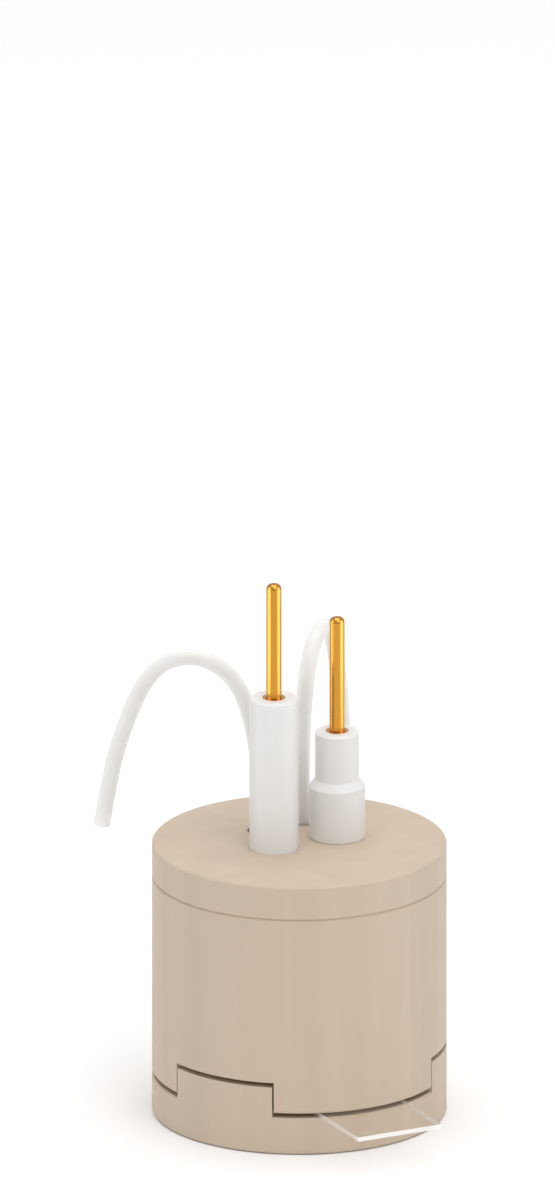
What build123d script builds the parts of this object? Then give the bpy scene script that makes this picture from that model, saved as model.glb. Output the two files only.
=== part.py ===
from build123d import *
import math
import os

# Closed three-electrode cell: a round slab with three lugs, a conductive glass
# slide clamped under a cup-shaped body, and a lid that carries two electrodes
# and two gas tubes. Millimetres, +Z up. The origin is on the main axis in the
# plane of the underside, at the mouth of the light window.

# ---- driving dimensions -------------------------------------------------
DISC_D = 38.0          # slab, body and lid flange
EDGE = 0.2             # chamfer on turned edges

BASE_T = 4.9           # slab thickness
LUG_TOP = 8.96         # top plane of the lugs
LUG_R_IN = 12.0
LUG_HALF = 22.5        # degrees either side of the lug's middle
LUG_ANGLES = (-3.2, 116.8, 236.8)
WINDOW_R = 5.8
SCREW_R = 15.5         # pitch radius of the clamp screws

THREAD_R = 1.25        # M2.5, major radius
CLEAR_R = 1.45         # clearance hole through the lug
HEAD_R = 2.25
HEAD_H = 2.5
CBORE_R = 2.4
CBORE_H = 2.66
SCREW_L = 15.0         # under the head
HEX_AF = 2.0
HEX_DEEP = 1.2

SLIDE_W = 12.0
SLIDE_T = 0.6
SLIDE_FRONT = 28.8     # from the axis to the contact end
SLIDE_BACK = 6.2
SLIDE_ANGLE = 296.8    # the way the contact end points

BODY_Z0 = BASE_T + SLIDE_T      # 5.5, the body stands on the glass
BODY_H = 26.3
BODY_Z1 = BODY_Z0 + BODY_H      # 31.8
BORE_R = 10.13
FLOOR_T = 1.9
FLOOR_Z = BODY_Z0 + FLOOR_T     # 7.4
PORT_R = 3.5
SEAL_BORE_R = 5.6
SEAL_BORE_H = 1.1
NOTCH_R_IN = 11.85
NOTCH_HALF = 23.2
NOTCH_TOP = BODY_Z0 + 4.1       # 9.6
TAP_R = 1.3
TAP_TOP = 18.6

SEAL_MID_R = 4.65
SEAL_W = 1.86
SEAL_H = 1.08

LID_H = 4.5
LID_Z1 = BODY_Z1 + LID_H        # 36.3
SPIGOT_R = 9.9
SPIGOT_H = 5.1
LID_Z0 = BODY_Z1 - SPIGOT_H     # 26.7

COUNTER_XY = (-3.28, -2.55)
ROD_R = 3.175
ROD_Z0 = LID_Z1 - 15.8          # 20.5
ROD_Z1 = LID_Z1 + 20.4          # 56.7
ROD_EDGE = 0.2
PIN_R = 1.0
PIN_H = 15.45          # above the rod or the cap
PIN_DEEP = 9.0         # inside the rod
COLLAR_R = 1.5
COLLAR_H = 0.8
LEAD_R = 0.55
LEAD_OUT = 1.1         # the lead's end below the rod
FOIL_W = 5.1
FOIL_H = 10.2
FOIL_T = 0.1
FOIL_ANGLE = 28.7

REF_XY = (4.87, 2.07)
CAP_R = 3.635
CAP_H = 6.9
NECK_R = 2.84
NECK_Z = LID_Z1 + 7.9
CAP_Z1 = LID_Z1 + 14.35         # 50.65
CAP_EDGE = 0.3
REF_PIN_DEEP = 5.6
TUBE_R = 2.2
TUBE_BORE_R = 1.25
TUBE_Z0 = LID_Z1 - 26.1         # 10.2
TUBE_Z1 = LID_Z1 + 6.2
FRIT_H = 3.5
WIRE_TOP_R = 0.18
WIRE_END_R = 0.31
WIRE_Z0 = LID_Z1 - 21.8         # 14.5

GAS_R = 1.05
GAS_BORE_R = 0.7
GAS_HOLE_R = 1.1
GAS_SINK_R = 1.47      # sink around each tube in the lid's top
GAS_SINK_H = 3.0
GAS_XY_IN = (-5.28, 4.33)
GAS_XY_OUT = (0.3, 7.4)
GAS_DIR_IN = 180.0     # the way each tube leans out over the lid
GAS_DIR_OUT = 73.9
GAS_LOW = -28.6        # lower end, from the lid's top
# the tube's route: distance out from its hole, height above the lid's top
GAS_ROUTE = (
    (0.0, GAS_LOW),
    (0.0, 11.48),
    (2.57, 20.84),
    (8.57, 24.23),
    (14.12, 21.97),
    (17.71, 13.21),
    (19.19, 6.94),
    (20.21, 0.78),
)


# ---- helpers ------------------------------------------------------------
def turned(profile, xy=(0.0, 0.0)):
    """Solid turned about a vertical axis from (radius, height) points."""
    pts = [Vector(r, 0, z) for r, z in profile]
    face = make_face(Polyline(*pts, close=True))
    return Pos(xy[0], xy[1], 0) * revolve(face, axis=Axis.Z)


def rod(r, z0, z1, xy=(0.0, 0.0)):
    return Pos(xy[0], xy[1], z0) * Cylinder(
        r, z1 - z0, align=(Align.CENTER, Align.CENTER, Align.MIN)
    )


def polar(r, deg):
    a = math.radians(deg)
    return (r * math.cos(a), r * math.sin(a))


def sector(r0, r1, half, mid, z0, z1):
    """Ring sector with radial ends."""
    a0, a1, b0, b1 = (Vector(*polar(r, s * half)) for s in (-1, 1) for r in (r0, r1))
    edges = [
        Line(a0, a1),
        ThreePointArc(a1, Vector(r1, 0), b1),
        Line(b1, b0),
        ThreePointArc(b0, Vector(r0, 0), a0),
    ]
    face = Pos(0, 0, z0) * make_face(edges)
    return Rot(0, 0, mid) * extrude(face, amount=z1 - z0, dir=(0, 0, 1))


def one(shape):
    """A boolean's result as a plain solid."""
    s = shape.solids()
    assert len(s) == 1, len(s)
    return s[0]


os.makedirs("parts", exist_ok=True)


def save(name, shape):
    shape.label = name
    export_step(shape, f"parts/{name}.step")
    print(f"{name:22s} {shape.volume:10.3f} mm3")


R = DISC_D / 2

# ---- base plate: slab, lugs, window, counterbored screw holes -------------
base = turned(
    [
        (0, 0),
        (R - EDGE, 0),
        (R, EDGE),
        (R, BASE_T - EDGE),
        (R - EDGE, BASE_T),
        (0, BASE_T),
    ]
)
for mid in LUG_ANGLES:
    base += sector(LUG_R_IN, R, LUG_HALF, mid, BASE_T - 1.0, LUG_TOP)
base -= rod(WINDOW_R, -1, BASE_T + 1)
for mid in LUG_ANGLES:
    xy = polar(SCREW_R, mid)
    base -= rod(CLEAR_R, -1, LUG_TOP + 1, xy)
    base -= rod(CBORE_R, -1, CBORE_H, xy)
save("base_plate", one(base))

# ---- clamp screws: socket heads in the counterbores, tips up --------------
for i, mid in enumerate(LUG_ANGLES):
    xy = polar(SCREW_R, mid)
    z0 = CBORE_H - HEAD_H
    tip = CBORE_H + SCREW_L
    screw = turned(
        [
            (0, z0),
            (HEAD_R - 0.15, z0),
            (HEAD_R, z0 + 0.15),
            (HEAD_R, CBORE_H),
            (THREAD_R, CBORE_H),
            (THREAD_R, tip - 0.25),
            (THREAD_R - 0.25, tip),
            (0, tip),
        ],
        xy,
    )
    hexagon = RegularPolygon(HEX_AF / 2, 6, major_radius=False)
    screw -= Pos(xy[0], xy[1], z0) * extrude(hexagon, amount=HEX_DEEP, dir=(0, 0, 1))
    save(f"clamp_screw_{i + 1}", one(screw))

# ---- conductive glass slide ----------------------------------------------
slide = Pos((SLIDE_FRONT - SLIDE_BACK) / 2, 0, BASE_T + SLIDE_T / 2) * Box(
    SLIDE_FRONT + SLIDE_BACK, SLIDE_W, SLIDE_T
)
slide = Rot(0, 0, SLIDE_ANGLE) * slide
save("glass_slide", one(slide))

# ---- window seal: ring squeezed to the depth of its seat ------------------
z_mid = BODY_Z0 + 0.01 + SEAL_H / 2
seal = Pos(SEAL_MID_R, 0, z_mid) * Rot(90, 0, 0) * SlotOverall(SEAL_W, SEAL_H)
seal = revolve(seal, axis=Axis.Z)
save("window_seal", one(seal))

# ---- cell body: cup with a port in its floor, notches for the lugs --------
body = turned(
    [
        (PORT_R, BODY_Z0 + SEAL_BORE_H),
        (SEAL_BORE_R, BODY_Z0 + SEAL_BORE_H),
        (SEAL_BORE_R, BODY_Z0),
        (R - EDGE, BODY_Z0),
        (R, BODY_Z0 + EDGE),
        (R, BODY_Z1 - EDGE),
        (R - EDGE, BODY_Z1),
        (BORE_R + EDGE, BODY_Z1),
        (BORE_R, BODY_Z1 - EDGE),
        (BORE_R, FLOOR_Z + 0.3),
        (BORE_R - 0.3, FLOOR_Z),
        (PORT_R, FLOOR_Z),
    ]
)
for mid in LUG_ANGLES:
    body -= sector(NOTCH_R_IN, R + 2, NOTCH_HALF, mid, BODY_Z0 - 1, NOTCH_TOP)
    body -= rod(TAP_R, BODY_Z0, TAP_TOP, polar(SCREW_R, mid))
save("cell_body", one(body))

# ---- lid: flange and spigot, holes for electrodes and tubes ---------------
lid = turned(
    [
        (0, LID_Z0),
        (SPIGOT_R - EDGE, LID_Z0),
        (SPIGOT_R, LID_Z0 + EDGE),
        (SPIGOT_R, BODY_Z1),
        (R - EDGE, BODY_Z1),
        (R, BODY_Z1 + EDGE),
        (R, LID_Z1 - EDGE),
        (R - EDGE, LID_Z1),
        (0, LID_Z1),
    ]
)
lid -= rod(ROD_R + 0.05, LID_Z0 - 1, LID_Z1 + 1, COUNTER_XY)
lid -= rod(TUBE_R + 0.06, LID_Z0 - 1, LID_Z1 + 1, REF_XY)
for xy in (GAS_XY_IN, GAS_XY_OUT):
    lid -= rod(GAS_HOLE_R, LID_Z0 - 1, LID_Z1 + 1, xy)
    lid -= rod(GAS_SINK_R, LID_Z1 - GAS_SINK_H, LID_Z1 + 1, xy)
save("lid", one(lid))


# ---- contact pin with a flat collar sunk flush in its holder --------------
def pin(z_face, deep, xy):
    tip = z_face + PIN_H
    prof = [
        (0, z_face - deep),
        (PIN_R, z_face - deep),
        (PIN_R, z_face - COLLAR_H),
        (COLLAR_R, z_face - COLLAR_H),
        (COLLAR_R, z_face),
        (PIN_R, z_face),
        (PIN_R, tip - 0.72),
    ]
    # domed tip with a small flat
    for k in range(1, 8):
        a = math.radians(90 * k / 8)
        prof.append((PIN_R - 0.72 + 0.72 * math.cos(a), tip - 0.72 + 0.72 * math.sin(a)))
    prof.append((PIN_R - 0.72, tip))
    prof.append((0, tip))
    return one(turned(prof, xy))


# ---- counter electrode: rod, pin, lead and foil ----------------------------
cx, cy = COUNTER_XY
lead_top = ROD_Z1 - PIN_DEEP
foil = Pos(cx, cy, ROD_Z0 - FOIL_H / 2) * Rot(0, 0, FOIL_ANGLE) * Box(FOIL_W, FOIL_T, FOIL_H)
lead = rod(LEAD_R, ROD_Z0 - LEAD_OUT, lead_top, COUNTER_XY) - foil
crod = turned(
    [
        (0, ROD_Z0),
        (ROD_R - ROD_EDGE, ROD_Z0),
        (ROD_R, ROD_Z0 + ROD_EDGE),
        (ROD_R, ROD_Z1 - ROD_EDGE),
        (ROD_R - ROD_EDGE, ROD_Z1),
        (0, ROD_Z1),
    ],
    COUNTER_XY,
)
crod -= rod(PIN_R, lead_top, ROD_Z1 + 1, COUNTER_XY)
crod -= rod(COLLAR_R, ROD_Z1 - COLLAR_H, ROD_Z1 + 1, COUNTER_XY)
crod -= rod(LEAD_R, ROD_Z0 - 1, lead_top + 1, COUNTER_XY)
save("counter_rod", one(crod))
save("counter_pin", pin(ROD_Z1, PIN_DEEP, COUNTER_XY))
save("counter_lead", one(lead))
save("counter_foil", one(foil))

# ---- reference electrode: cap, pin, glass tube, wire and frit -------------
cap = turned(
    [
        (0, LID_Z1),
        (CAP_R - 0.1, LID_Z1),
        (CAP_R, LID_Z1 + 0.1),
        (CAP_R, LID_Z1 + CAP_H),
        (NECK_R, NECK_Z),
        (NECK_R, CAP_Z1 - CAP_EDGE),
        (NECK_R - CAP_EDGE, CAP_Z1),
        (0, CAP_Z1),
    ],
    REF_XY,
)
pin_foot = CAP_Z1 - REF_PIN_DEEP
cap -= rod(TUBE_R, LID_Z1 - 1, TUBE_Z1, REF_XY)
cap -= rod(PIN_R, pin_foot, CAP_Z1 + 1, REF_XY)
cap -= rod(COLLAR_R, CAP_Z1 - COLLAR_H, CAP_Z1 + 1, REF_XY)
cap -= rod(WIRE_TOP_R, TUBE_Z1 - 1, pin_foot + 1, REF_XY)
save("reference_cap", one(cap))
save("reference_pin", pin(CAP_Z1, REF_PIN_DEEP, REF_XY))

glass = turned(
    [
        (TUBE_BORE_R, TUBE_Z0),
        (TUBE_R - 0.1, TUBE_Z0),
        (TUBE_R, TUBE_Z0 + 0.1),
        (TUBE_R, TUBE_Z1),
        (TUBE_BORE_R, TUBE_Z1),
    ],
    REF_XY,
)
save("reference_tube", one(glass))
save("reference_frit", one(rod(TUBE_BORE_R, TUBE_Z0, TUBE_Z0 + FRIT_H, REF_XY)))
# thin wire that thickens into its coated lower end
wire = turned(
    [
        (0, WIRE_Z0),
        (WIRE_END_R - 0.06, WIRE_Z0),
        (WIRE_END_R, WIRE_Z0 + 0.06),
        (WIRE_END_R, WIRE_Z0 + 2.4),
        (WIRE_TOP_R, WIRE_Z0 + 7.5),
        (WIRE_TOP_R, pin_foot),
        (0, pin_foot),
    ],
    REF_XY,
)
save("reference_wire", one(wire))


# ---- gas tubes: hollow, up through the lid, over and down -----------------
def gas_tube(xy, deg):
    ux, uy = math.cos(math.radians(deg)), math.sin(math.radians(deg))
    pts = [Vector(xy[0] + s * ux, xy[1] + s * uy, LID_Z1 + h) for s, h in GAS_ROUTE]
    radii = []
    for a, b, c in zip(pts[:-2], pts[1:-1], pts[2:]):
        turn = (b - a).get_angle(c - b)
        radii.append(0.45 * min((b - a).length, (c - b).length) / math.tan(math.radians(turn / 2)))
    path = FilletPolyline(*pts, radius=radii)
    print("gas tube radii", [round(r, 2) for r in radii], "least, in diameters", round(min(radii) / (2 * GAS_R), 2))
    print("gas tube length", round(path.length, 2))
    plane = Plane(origin=pts[0], z_dir=(0, 0, 1))
    ring = plane * (Circle(GAS_R) - Circle(GAS_BORE_R))
    tube = sweep(ring, path=path)
    area = math.pi * (GAS_R**2 - GAS_BORE_R**2)
    print("gas tube volume over section x length", round(tube.volume / (area * path.length), 4))
    return one(tube)


save("gas_inlet_tube", gas_tube(GAS_XY_IN, GAS_DIR_IN))
save("gas_outlet_tube", gas_tube(GAS_XY_OUT, GAS_DIR_OUT))
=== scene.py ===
import math

import bmesh
import bpy
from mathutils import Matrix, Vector


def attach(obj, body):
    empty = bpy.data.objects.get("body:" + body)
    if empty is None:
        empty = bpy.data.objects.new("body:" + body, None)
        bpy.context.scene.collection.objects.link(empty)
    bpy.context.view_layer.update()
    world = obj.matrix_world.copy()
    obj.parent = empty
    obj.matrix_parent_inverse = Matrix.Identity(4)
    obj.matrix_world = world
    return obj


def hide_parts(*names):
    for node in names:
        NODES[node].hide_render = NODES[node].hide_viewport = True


MM = 0.001

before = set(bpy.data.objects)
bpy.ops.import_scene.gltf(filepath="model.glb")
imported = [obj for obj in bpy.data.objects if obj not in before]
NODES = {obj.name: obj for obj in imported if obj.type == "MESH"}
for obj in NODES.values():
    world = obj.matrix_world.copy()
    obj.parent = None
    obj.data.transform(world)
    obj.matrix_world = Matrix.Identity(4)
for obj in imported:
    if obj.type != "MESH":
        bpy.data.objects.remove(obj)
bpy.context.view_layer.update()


# ---- materials -----------------------------------------------------------
def srgb(r, g, b):
    def lin(c):
        c /= 255
        return c / 12.92 if c <= 0.04045 else ((c + 0.055) / 1.055) ** 2.4

    return (lin(r), lin(g), lin(b), 1.0)


def material(name, colour, rough, metallic=0.0, **sockets):
    m = bpy.data.materials.new(name)
    m.use_nodes = True
    b = m.node_tree.nodes["Principled BSDF"]
    b.inputs["Base Color"].default_value = colour
    b.inputs["Roughness"].default_value = rough
    b.inputs["Metallic"].default_value = metallic
    for k, v in sockets.items():
        b.inputs[k.replace("_", " ")].default_value = v
    return m


def vary(m, low, high, scale, stretch=(1, 1, 1), detail=3.0):
    """Mottles the base colour between two colours, in object space."""
    t = m.node_tree
    tc = t.nodes.new("ShaderNodeTexCoord")
    mp = t.nodes.new("ShaderNodeMapping")
    mp.inputs["Scale"].default_value = stretch
    nz = t.nodes.new("ShaderNodeTexNoise")
    nz.inputs["Scale"].default_value = scale
    nz.inputs["Detail"].default_value = detail
    rp = t.nodes.new("ShaderNodeValToRGB")
    rp.color_ramp.elements[0].position = 0.35
    rp.color_ramp.elements[1].position = 0.65
    rp.color_ramp.elements[0].color = low
    rp.color_ramp.elements[1].color = high
    t.links.new(tc.outputs["Object"], mp.inputs["Vector"])
    t.links.new(mp.outputs["Vector"], nz.inputs["Vector"])
    t.links.new(nz.outputs["Fac"], rp.inputs["Fac"])
    t.links.new(rp.outputs["Color"], t.nodes["Principled BSDF"].inputs["Base Color"])


def grain(m, scale, amount, stretch=(1, 1, 1)):
    """Fine surface texture as a bump."""
    t = m.node_tree
    tc = t.nodes.new("ShaderNodeTexCoord")
    mp = t.nodes.new("ShaderNodeMapping")
    mp.inputs["Scale"].default_value = stretch
    nz = t.nodes.new("ShaderNodeTexNoise")
    nz.inputs["Scale"].default_value = scale
    bp = t.nodes.new("ShaderNodeBump")
    bp.inputs["Strength"].default_value = amount
    bp.inputs["Distance"].default_value = 0.00005
    t.links.new(tc.outputs["Object"], mp.inputs["Vector"])
    t.links.new(mp.outputs["Vector"], nz.inputs["Vector"])
    t.links.new(nz.outputs["Fac"], bp.inputs["Height"])
    t.links.new(bp.outputs["Normal"], t.nodes["Principled BSDF"].inputs["Normal"])


def veil(m, facing, grazing, blend=0.35):
    """A clear wall: see-through where it faces the eye, denser at its edges."""
    t = m.node_tree
    lw = t.nodes.new("ShaderNodeLayerWeight")
    lw.inputs["Blend"].default_value = blend
    mr = t.nodes.new("ShaderNodeMapRange")
    mr.inputs["To Min"].default_value = facing
    mr.inputs["To Max"].default_value = grazing
    t.links.new(lw.outputs["Facing"], mr.inputs["Value"])
    t.links.new(mr.outputs["Result"], t.nodes["Principled BSDF"].inputs["Alpha"])


def film(m, least, most=1.0, power=5.0):
    """Clear glass: as strong as glass reflects, weak face on, full at grazing."""
    t = m.node_tree
    lw = t.nodes.new("ShaderNodeLayerWeight")
    lw.inputs["Blend"].default_value = 0.5
    pw = t.nodes.new("ShaderNodeMath")
    pw.operation = "POWER"
    pw.inputs[1].default_value = power
    mr = t.nodes.new("ShaderNodeMapRange")
    mr.inputs["To Min"].default_value = least
    mr.inputs["To Max"].default_value = most
    t.links.new(lw.outputs["Facing"], pw.inputs[0])
    t.links.new(pw.outputs["Value"], mr.inputs["Value"])
    t.links.new(mr.outputs["Result"], t.nodes["Principled BSDF"].inputs["Alpha"])


peek = material("peek", srgb(201, 182, 162), 0.5, Specular_IOR_Level=0.3)
vary(peek, srgb(198, 180, 160), srgb(203, 185, 165), 260, (1, 1, 0.03))
grain(peek, 900, 0.15, (1, 1, 0.05))

steel = material("steel", (0.58, 0.58, 0.57, 1), 0.30, 1.0)
vary(steel, (0.53, 0.53, 0.52, 1), (0.63, 0.63, 0.62, 1), 900)

# painted shade: a darker steel for the thread roots, standing in for the shade that falls
# in the grooves
steel_painted_root_shade = material("steel_painted_root_shade", (0.17, 0.165, 0.155, 1), 0.45, 1.0)
vary(steel_painted_root_shade, (0.14, 0.136, 0.13, 1), (0.20, 0.195, 0.185, 1), 900)

slide_glass = material("slide_glass", (0.88, 0.85, 0.81, 1), 0.02, 1.0)
vary(slide_glass, (0.87, 0.84, 0.80, 1), (0.89, 0.86, 0.82, 1), 60)
film(slide_glass, 0.05)

slide_under = material("slide_under", (0.88, 0.85, 0.81, 1), 0.02, 1.0, Alpha=0.03)

slide_edge = material("slide_edge", (0.94, 0.93, 0.91, 1), 0.06, 0.45, Alpha=0.85)
vary(slide_edge, (0.93, 0.92, 0.90, 1), (0.95, 0.94, 0.92, 1), 60)

rubber = material("seal_rubber", (0.02, 0.02, 0.02, 1), 0.7)
vary(rubber, (0.018, 0.018, 0.018, 1), (0.025, 0.025, 0.025, 1), 1500)

ptfe = material("ptfe", srgb(231, 230, 228), 0.42)
vary(ptfe, srgb(229, 228, 226), srgb(233, 232, 230), 300, (1, 1, 0.1))

gold = material("gold", (0.60, 0.27, 0.035, 1), 0.16, 1.0, Coat_Weight=0.25)
vary(gold, (0.59, 0.265, 0.033, 1), (0.61, 0.28, 0.037, 1), 700, (1, 1, 0.05))

platinum = material("platinum", (0.44, 0.44, 0.44, 1), 0.6, 0.7)
vary(platinum, (0.43, 0.43, 0.43, 1), (0.45, 0.45, 0.45, 1), 250, (1, 1, 0.5))

# painted shade: the platinum lead's protruding end is made near black, standing in for
# the shade on its lower end
lead_painted_shade = material("lead_painted_shade", (0.04, 0.04, 0.04, 1), 0.6)
vary(lead_painted_shade, (0.03, 0.03, 0.03, 1), (0.05, 0.05, 0.05, 1), 900)

tube_glass = material("tube_glass", srgb(104, 106, 108), 0.05)
vary(tube_glass, srgb(102, 104, 106), srgb(106, 108, 110), 60)
film(tube_glass, 0.02, 1.0, 3.4)

# the tube's lower rim, where its wall is seen end on: painted shade, a darker grey
# standing in for the dark arc the glass shows there
tube_rim_painted_shade = material("tube_rim_painted_shade", srgb(84, 86, 90), 0.1)
vary(tube_rim_painted_shade, srgb(80, 82, 86), srgb(88, 90, 94), 60)
veil(tube_rim_painted_shade, 0.75, 0.9)

frit = material("frit", srgb(247, 219, 184), 0.75)
vary(frit, srgb(245, 216, 181), srgb(249, 222, 188), 2500)
grain(frit, 3500, 0.15)

silver = material("silver", (0.42, 0.42, 0.42, 1), 0.45, 0.7)
vary(silver, (0.39, 0.39, 0.39, 1), (0.45, 0.45, 0.45, 1), 2000)

gas_ptfe = material("gas_ptfe", srgb(250, 249, 247), 0.35)
vary(gas_ptfe, srgb(248, 247, 245), srgb(252, 251, 249), 200)
veil(gas_ptfe, 0.55, 0.93)

MATERIAL_OF = {
    "base_plate": peek,
    "glass_slide": slide_glass,
    "window_seal": rubber,
    "cell_body": peek,
    "lid": peek,
    "counter_rod": ptfe,
    "counter_pin": gold,
    "counter_lead": lead_painted_shade,
    "counter_foil": platinum,
    "reference_cap": ptfe,
    "reference_pin": gold,
    "reference_tube": tube_glass,
    "reference_frit": frit,
    "reference_wire": silver,
}
for node, m in MATERIAL_OF.items():
    o = NODES[node]
    o.data.materials.clear()
    o.data.materials.append(m)


def new_piece(name, verts, faces, m, body, node, smooth_deg=35):
    mesh = bpy.data.meshes.new(name)
    mesh.from_pydata(verts, [], faces)
    bm = bmesh.new()
    bm.from_mesh(mesh)
    bmesh.ops.remove_doubles(bm, verts=bm.verts, dist=1e-7)
    bmesh.ops.dissolve_degenerate(bm, edges=bm.edges, dist=1e-8)
    bmesh.ops.recalc_face_normals(bm, faces=bm.faces)
    bm.to_mesh(mesh)
    bm.free()
    for p in mesh.polygons:
        p.use_smooth = True
    mesh.set_sharp_from_angle(angle=math.radians(smooth_deg))
    mesh.materials.append(m)
    o = bpy.data.objects.new(name, mesh)
    bpy.context.scene.collection.objects.link(o)
    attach(o, body)
    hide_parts(node)
    return o


# ---- clamp screws: M2.5 thread, socket head ------------------------------
SIDES = 48
PITCH = 0.45
MAJOR = 1.25
ROOT = MAJOR - 0.6134 * PITCH
HEAD_Z0, HEAD_Z1 = 0.16, 2.66
TIP = 17.66
RUNOUT = 3.1


def hexagon(a):
    return 1.0 / math.cos(a % (math.pi / 3) - math.pi / 6)


def screw_mesh(cx, cy):
    verts, faces = [], []

    def add(r, a, z):
        verts.append(
            (MM * (cx + r * math.cos(a)), MM * (cy + r * math.sin(a)), MM * z)
        )
        return len(verts) - 1

    ang = [2 * math.pi * j / SIDES for j in range(SIDES)]

    def ring(r, z):
        return [add(r(a) if callable(r) else r, a, z) for a in ang]

    def loft(rows):
        for p, q in zip(rows[:-1], rows[1:]):
            for j in range(SIDES):
                k = (j + 1) % SIDES
                faces.append((p[j], p[k], q[k], q[j]))

    low = [
        ring(hexagon, HEAD_Z0 + 1.2),
        ring(hexagon, HEAD_Z0),
        ring(2.10, HEAD_Z0),
        ring(2.25, HEAD_Z0 + 0.15),
        ring(2.25, HEAD_Z1),
        ring(MAJOR, HEAD_Z1),
        ring(MAJOR, RUNOUT),
    ]
    faces.append(tuple(reversed(low[0])))
    loft(low)

    # thread: rows follow the helix, so every crest is one clean line
    steps = 8
    rows = int((TIP - RUNOUT) / PITCH + 3) * steps
    grid = {}
    for i in range(rows + 1):
        for j in range(SIDES):
            z = RUNOUT - PITCH + PITCH * (i / steps + j / SIDES)
            a = ang[j]
            phase = (i % steps) / steps
            depth = min(1.0, max(0.0, (abs(2 * phase - 1) - 0.1) / 0.75))
            r = ROOT + (MAJOR - ROOT) * depth
            if z <= RUNOUT:
                z, r = RUNOUT, MAJOR
            elif z >= TIP:
                z, r = TIP, MAJOR - 0.25
            else:
                r = min(r, MAJOR - 0.25 + (TIP - z))
            grid[i, j] = add(r, a, z)
    for i in range(rows):
        for j in range(SIDES):
            if j < SIDES - 1:
                q = (grid[i, j], grid[i, j + 1], grid[i + 1, j + 1], grid[i + 1, j])
            elif i + 1 + steps <= rows:
                q = (
                    grid[i, j],
                    grid[i + steps, 0],
                    grid[i + 1 + steps, 0],
                    grid[i + 1, j],
                )
            else:
                continue
            if len({verts[v] for v in q}) >= 3:
                faces.append(q)
    faces.append(tuple(ring(MAJOR - 0.25, TIP)))
    return verts, faces


for i, deg in enumerate((-3.2, 116.8, 236.8)):
    a = math.radians(deg)
    sx, sy = 15.5 * math.cos(a), 15.5 * math.sin(a)
    v, f = screw_mesh(sx, sy)
    n = i + 1
    s = new_piece(
        f"clamp_screw_{n}_threaded",
        v,
        f,
        steel,
        f"clamp_screw_{n}",
        f"clamp_screw_{n}",
        30,
    )
    # painted shade: the thread's roots get a darker steel than its crests, standing in
    # for the shade in the grooves
    s.data.materials.append(steel_painted_root_shade)
    for p in s.data.polygons:
        r = math.hypot(p.center.x / MM - sx, p.center.y / MM - sy)
        if RUNOUT < p.center.z / MM < TIP - 0.3 and r < ROOT + 0.45 * (MAJOR - ROOT):
            p.material_index = 1


# ---- glass slide: its ground edges are brighter than its faces ------------
# its underside is 4 microns clear of the slab, so the two don't share a plane
sa = math.radians(296.8)
sv = [
    (
        MM * (d * math.cos(sa) - w * math.sin(sa)),
        MM * (d * math.sin(sa) + w * math.cos(sa)),
        MM * z,
    )
    for z in (4.904, 5.5)
    for d, w in ((-6.2, -6.0), (28.8, -6.0), (28.8, 6.0), (-6.2, 6.0))
]
sf = [(3, 2, 1, 0), (4, 5, 6, 7)]
sf += [(i, (i + 1) % 4, (i + 1) % 4 + 4, i + 4) for i in range(4)]
slide = new_piece(
    "glass_slide_clear",
    sv,
    sf,
    slide_glass,
    "base",
    "glass_slide",
)
slide.data.materials.append(slide_edge)
slide.data.materials.append(slide_under)
for p in slide.data.polygons:
    p.use_smooth = False
    p.material_index = 1 if abs(p.normal.z) <= 0.5 else (0 if p.normal.z > 0 else 2)


# ---- turned pieces with a smooth round: pins and glass tube ---------------
def turned(name, profile, xy, m, body, node, closed=False, sides=96):
    verts, faces, rings = [], [], []
    for r, z in profile:
        row = []
        for j in range(sides):
            a = 2 * math.pi * j / sides
            verts.append(
                (MM * (xy[0] + r * math.cos(a)), MM * (xy[1] + r * math.sin(a)), MM * z)
            )
            row.append(len(verts) - 1)
        rings.append(row)
    pairs = list(zip(rings[:-1], rings[1:]))
    if closed:
        pairs.append((rings[-1], rings[0]))
    for p, q in pairs:
        for j in range(sides):
            k = (j + 1) % sides
            faces.append((p[j], p[k], q[k], q[j]))
    return new_piece(name, verts, faces, m, body, node, 32)


def pin_profile(z_face, deep):
    tip = z_face + 15.45
    pts = [
        (0, z_face - deep),
        (1.0, z_face - deep),
        (1.0, z_face - 0.8),
        (1.5, z_face - 0.8),
        (1.5, z_face),
        (1.0, z_face),
    ]
    for k in range(17):
        a = math.radians(90 * k / 16)
        pts.append((0.28 + 0.72 * math.cos(a), tip - 0.72 + 0.72 * math.sin(a)))
    pts.append((0, tip))
    return pts


REF_XY = (4.87, 2.07)
turned(
    "counter_pin_round",
    pin_profile(56.7, 9.0),
    (-3.28, -2.55),
    gold,
    "counter",
    "counter_pin",
)
turned(
    "reference_pin_round",
    pin_profile(50.65, 5.6),
    REF_XY,
    gold,
    "reference",
    "reference_pin",
)
tube = turned(
    "reference_tube_round",
    [(1.25, 10.2), (2.1, 10.2), (2.2, 10.3), (2.2, 42.5), (1.25, 42.5)],
    REF_XY,
    tube_glass,
    "reference",
    "reference_tube",
    closed=True,
)
tube.data.materials.append(tube_rim_painted_shade)
# painted shade on the tube's lower chamfer
for p in tube.data.polygons:
    if p.center.z / MM < 10.29 and p.normal.z > -0.99:
        p.material_index = 1

# ---- gas tubes: hollow, on one smooth curve -------------------------------
LID_TOP = 36.3
ROUTE = (
    (0.0, -28.6),
    (0.0, 3.0),
    (0.0, 11.48),
    (2.57, 20.84),
    (8.57, 24.23),
    (14.12, 21.97),
    (17.71, 13.21),
    (19.19, 6.94),
    (20.21, 0.78),
)


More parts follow.
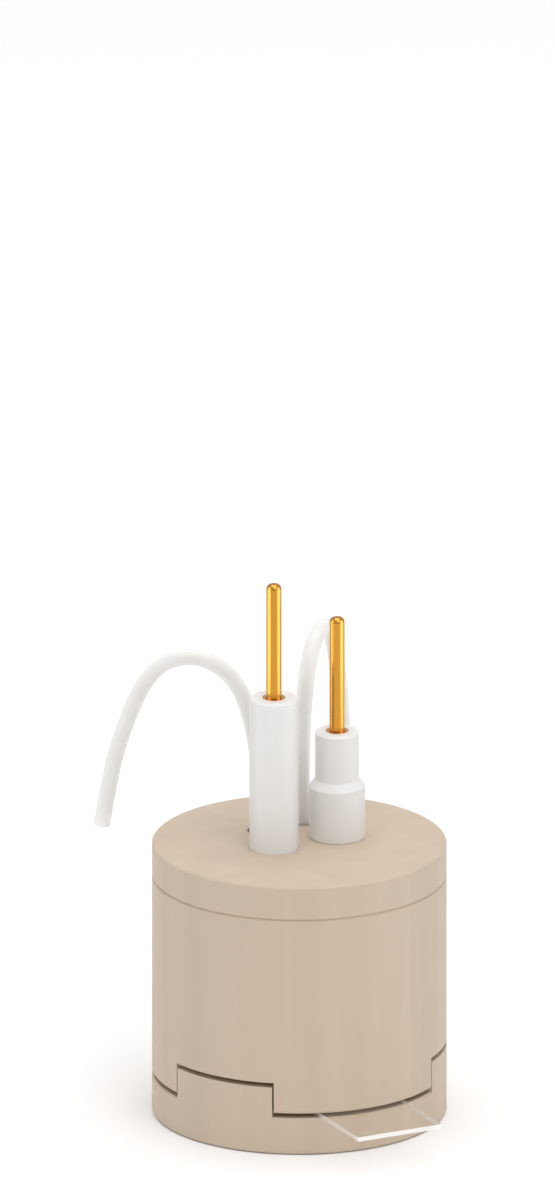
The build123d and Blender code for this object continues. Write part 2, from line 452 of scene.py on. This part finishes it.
def centreline(name, xy, deg):
    ux, uy = math.cos(math.radians(deg)), math.sin(math.radians(deg))
    c = bpy.data.curves.new(name + "_line", "CURVE")
    c.dimensions = "3D"
    c.resolution_u = 14
    s = c.splines.new("NURBS")
    s.points.add(len(ROUTE) - 1)
    for p, (d, h) in zip(s.points, ROUTE):
        p.co = (
            MM * (xy[0] + d * ux),
            MM * (xy[1] + d * uy),
            MM * (LID_TOP + h),
            1.0,
        )
    s.order_u = 3
    s.use_endpoint_u = True
    o = bpy.data.objects.new(name + "_line", c)
    bpy.context.scene.collection.objects.link(o)
    bpy.context.view_layer.update()
    me = bpy.data.meshes.new_from_object(o)
    pts = [v.co.copy() for v in me.vertices]
    bpy.data.objects.remove(o)
    bpy.data.meshes.remove(me)
    kept = [pts[0]]
    for p in pts[1:]:
        if (p - kept[-1]).length > 1e-6:
            kept.append(p)
    return kept


def gas_tube(name, node, body, xy, deg):
    pts = centreline(name, xy, deg)
    side = Vector((-math.sin(math.radians(deg)), math.cos(math.radians(deg)), 0))
    n = 36
    verts, faces, rings = [], [], {"out": [], "in": []}
    for k, p in enumerate(pts):
        t = (pts[min(k + 1, len(pts) - 1)] - pts[max(k - 1, 0)]).normalized()
        up = t.cross(side).normalized()
        for kind, r in (("out", 1.05 * MM), ("in", 0.70 * MM)):
            row = []
            for j in range(n):
                a = 2 * math.pi * j / n
                verts.append(tuple(p + side * (r * math.cos(a)) + up * (r * math.sin(a))))
                row.append(len(verts) - 1)
            rings[kind].append(row)
    for kind in rings:
        for p, q in zip(rings[kind][:-1], rings[kind][1:]):
            for j in range(n):
                k = (j + 1) % n
                faces.append((p[j], p[k], q[k], q[j]))
    for e in (0, -1):
        p, q = rings["out"][e], rings["in"][e]
        for j in range(n):
            k = (j + 1) % n
            faces.append((p[j], p[k], q[k], q[j]))
    o = new_piece(name, verts, faces, gas_ptfe, body, node, 50)
    return o


gas_tube("gas_inlet_hollow", "gas_inlet_tube", "gas_inlet", (-5.28, 4.33), 180.0)
gas_tube("gas_outlet_hollow", "gas_outlet_tube", "gas_outlet", (0.3, 7.4), 73.9)

# ---- stage, light, camera -------------------------------------------------
bpy.ops.mesh.primitive_plane_add(size=6, location=(0, 0, -0.0001))
floor = bpy.context.object
floor.name = "floor"
floor_m = material("floor", (0.98, 0.98, 0.98, 1), 0.9)
floor.data.materials.append(floor_m)

world = bpy.context.scene.world or bpy.data.worlds.new("world")
bpy.context.scene.world = world
world.use_nodes = True
bg = world.node_tree.nodes["Background"]
bg.inputs["Color"].default_value = (1, 1, 1, 1)
bg.inputs["Strength"].default_value = 0.69


def area(name, loc, size, power, target=(0, 0, 0.05)):
    d = bpy.data.lights.new(name, "AREA")
    d.shape = "RECTANGLE"
    d.size, d.size_y = size
    d.energy = power
    o = bpy.data.objects.new(name, d)
    o.location = loc
    o.rotation_euler = (Vector(target) - Vector(loc)).to_track_quat("-Z", "Y").to_euler()
    bpy.context.scene.collection.objects.link(o)
    return o


area("key", (0.24, -0.46, 0.75), (0.5, 0.5), 1.6)
area("top", (0.0, 0.1, 0.9), (0.7, 0.7), 3.1)
# two cards that only the metal and glass pick up, as bands along their sides
for side, x in (("left", -0.15), ("right", 0.15)):
    card = area("card_" + side, (x, -0.05, 0.1), (0.15, 0.2), 0.185, (0, -0.05, 0.1))
    card.visible_diffuse = False
    card.visible_camera = False

ELEV = math.radians(18.6)
cam_data = bpy.data.cameras.new("camera")
cam_data.type = "ORTHO"
cam_data.ortho_scale = 1200 / 7.753 * MM
cam_data.clip_start, cam_data.clip_end = 0.01, 10
cam = bpy.data.objects.new("camera", cam_data)
aim = Vector((-2.812 * MM, 0, 69.08 * MM))
cam.location = aim + Vector((0, -math.cos(ELEV), math.sin(ELEV))) * 0.6
cam.rotation_euler = (math.pi / 2 - ELEV, 0, 0)
bpy.context.scene.collection.objects.link(cam)
bpy.context.scene.camera = cam

bpy.context.scene.view_settings.view_transform = "Standard"
